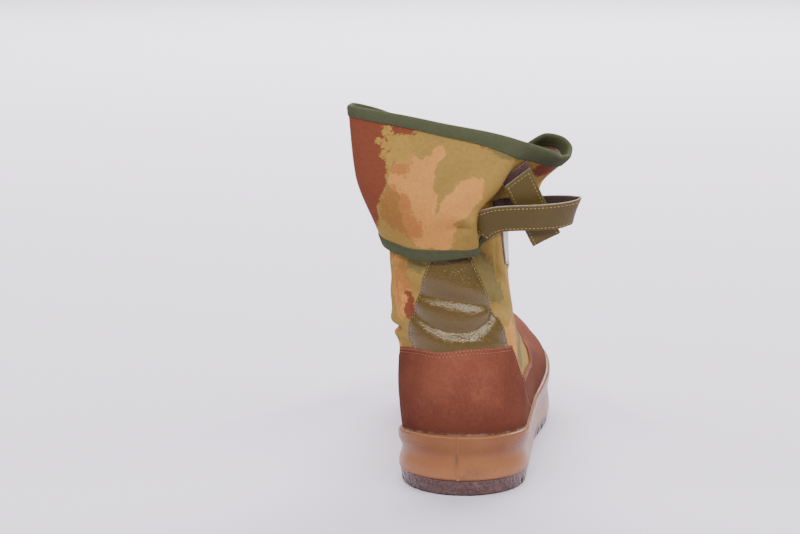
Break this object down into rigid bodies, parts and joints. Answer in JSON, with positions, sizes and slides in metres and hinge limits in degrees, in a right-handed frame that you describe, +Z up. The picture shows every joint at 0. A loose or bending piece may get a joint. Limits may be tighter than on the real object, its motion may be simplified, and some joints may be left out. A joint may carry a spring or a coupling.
{
  "type": "military boot",
  "caption": "Right canvas and suede military boot on a moulded cup sole, with a leatherette back panel, slack bound cuff, folded straps and lace eyelets; worn on the foot.",
  "frame": {"origin": "middle of the boot's box, on the floor under the tread", "axes": "+Y to the toe, +X to the outer side of the right foot, +Z up"},
  "size_m": [0.1474, 0.31, 0.2479],
  "materials": {
    "leatherette": "olive-brown smooth face, half gloss",
    "binding_tape": "grey-green woven tape, matt",
    "shaft_canvas": "woven cotton canvas printed with sand, ochre and rust blotches",
    "eyelet_metal": "rust-brown lacquer",
    "suede": "rust-brown nap",
    "insole_felt": "matt felt",
    "moulded_cup": "caramel moulded rubber, soft gloss",
    "outsole_rubber": "dark grey-brown pebbled rubber, half gloss"
  },
  "bodies": {
    "root": {"back_panel": "leatherette", "binding": "binding_tape", "cuff": "shaft_canvas", "eyelet_lateral_1": "eyelet_metal", "eyelet_lateral_2": "eyelet_metal", "eyelet_lateral_3": "eyelet_metal", "eyelet_lateral_4": "eyelet_metal", "eyelet_lateral_5": "eyelet_metal", "eyelet_medial_1": "eyelet_metal", "eyelet_medial_2": "eyelet_metal", "eyelet_medial_3": "eyelet_metal", "eyelet_medial_4": "eyelet_metal", "eyelet_medial_5": "eyelet_metal", "eyestay_lateral": "leatherette", "eyestay_medial": "leatherette", "heel_counter": "suede", "insole": "insole_felt", "midsole": "moulded_cup", "outsole": "outsole_rubber", "strap_cross": "leatherette", "strap_up": "leatherette", "tongue": "shaft_canvas", "upper": "shaft_canvas", "vamp": "suede"}
  },
  "joints": []
}
